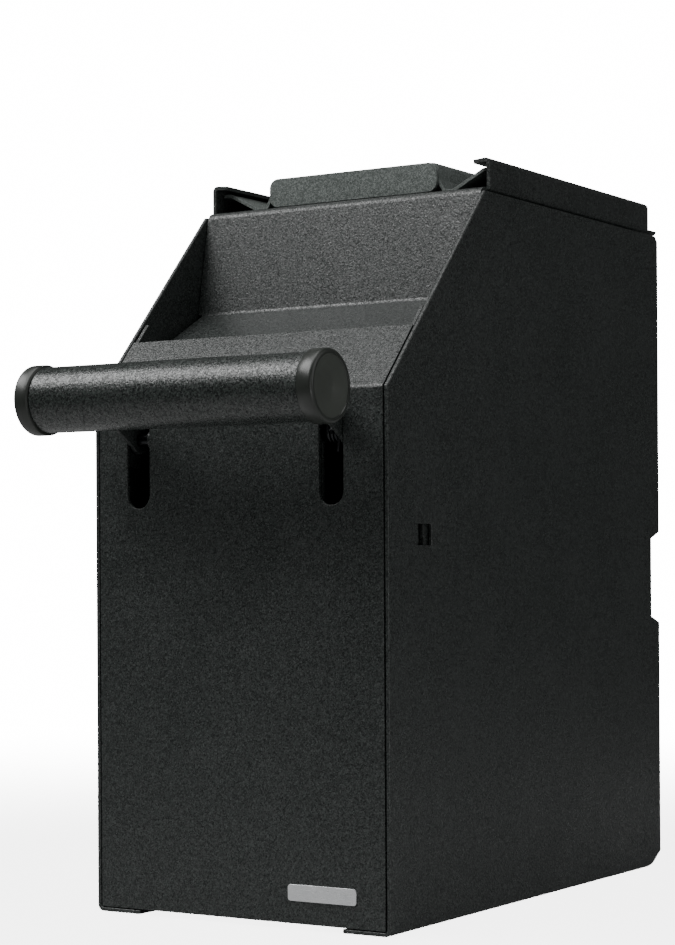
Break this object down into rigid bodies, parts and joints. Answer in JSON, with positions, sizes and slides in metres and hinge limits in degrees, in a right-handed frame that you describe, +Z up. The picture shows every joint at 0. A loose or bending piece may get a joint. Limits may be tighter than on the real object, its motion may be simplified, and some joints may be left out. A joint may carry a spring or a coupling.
{
  "type": "under-counter note deposit safe",
  "caption": "Slim sheet-steel note safe that hangs under a counter, with a front hopper, push handle and comb, locked rear door and slide-on bracket.",
  "frame": {"origin": "middle of the flat underside of the outer shell", "axes": "+Z up, +Y from the front panel to the rear door, +X to the right as seen from the front"},
  "size_m": [0.102, 0.2194, 0.2254],
  "materials": {
    "black_coat": "fine-textured powder coat",
    "smooth_plastic": "satin moulded",
    "zinc_steel": "zinc plated",
    "spring_steel": "oil blackened",
    "chrome_steel": "bright plated",
    "silver_label": "satin, blank",
    "black_nylon": "black, moulded"
  },
  "bodies": {
    "safe": {"outer_shell": "black_coat", "front_panel": "black_coat", "hopper_sheet": "black_coat", "roof_channel": "black_coat", "note_guide": "black_coat", "badge_plate": "silver_label", "strike_plate": "black_coat", "return_spring": "spring_steel", "flap_spring": "spring_steel", "flap_pin": "zinc_steel", "shaft_bracket_left": "black_coat", "shaft_bracket_right": "black_coat", "shaft_bush_left": "black_nylon", "shaft_bush_right": "black_nylon", "door_sill": "black_coat", "door_pin": "zinc_steel"},
    "handle": {"handle_tube": "black_coat", "handle_rod": "zinc_steel", "handle_cap_left": "smooth_plastic", "handle_cap_right": "smooth_plastic", "handle_arm_left": "black_coat", "handle_arm_right": "black_coat", "pivot_shaft": "spring_steel", "shaft_ring_left": "spring_steel", "shaft_ring_right": "spring_steel", "pusher_comb": "black_coat", "comb_screw_left": "spring_steel", "comb_screw_right": "spring_steel"},
    "flap": {"anti_fishing_flap": "zinc_steel"},
    "door": {"rear_door": "black_coat", "lock_body": "chrome_steel", "lock_nut": "zinc_steel"},
    "lock": {"lock_plug": "chrome_steel", "lock_cam": "zinc_steel", "cam_washer": "zinc_steel", "cam_screw": "zinc_steel"},
    "bracket": {"mounting_bracket": "black_coat"}
  },
  "joints": [
    {"name": "handle_swing", "type": "hinge", "parent": "safe", "child": "handle", "pos_m": [0, -0.0854, 0.1404], "axis": [1, 0, 0], "range_deg": [0, 80], "stiffness_Nm_per_rad": 0.15, "springref_deg": -34.38, "deforming": ["return_spring"]},
    {"name": "flap_swing", "type": "hinge", "parent": "safe", "child": "flap", "pos_m": [0, -0.06665, 0.1592], "axis": [1, 0, 0], "range_deg": [0, 70], "stiffness_Nm_per_rad": 0.004, "springref_deg": -28.65, "deforming": ["flap_spring"]},
    {"name": "door_swing", "type": "hinge", "parent": "safe", "child": "door", "pos_m": [0, 0.0849, 0.006], "axis": [-1, 0, 0], "range_deg": [0, 90]},
    {"name": "lock_turn", "type": "hinge", "parent": "door", "child": "lock", "pos_m": [0, 0.088, 0.188], "axis": [0, -1, 0], "range_deg": [0, 90]},
    {"name": "bracket_slide", "type": "slide", "parent": "safe", "child": "bracket", "axis": [0, -1, 0], "range_m": [0, 0.11]}
  ]
}
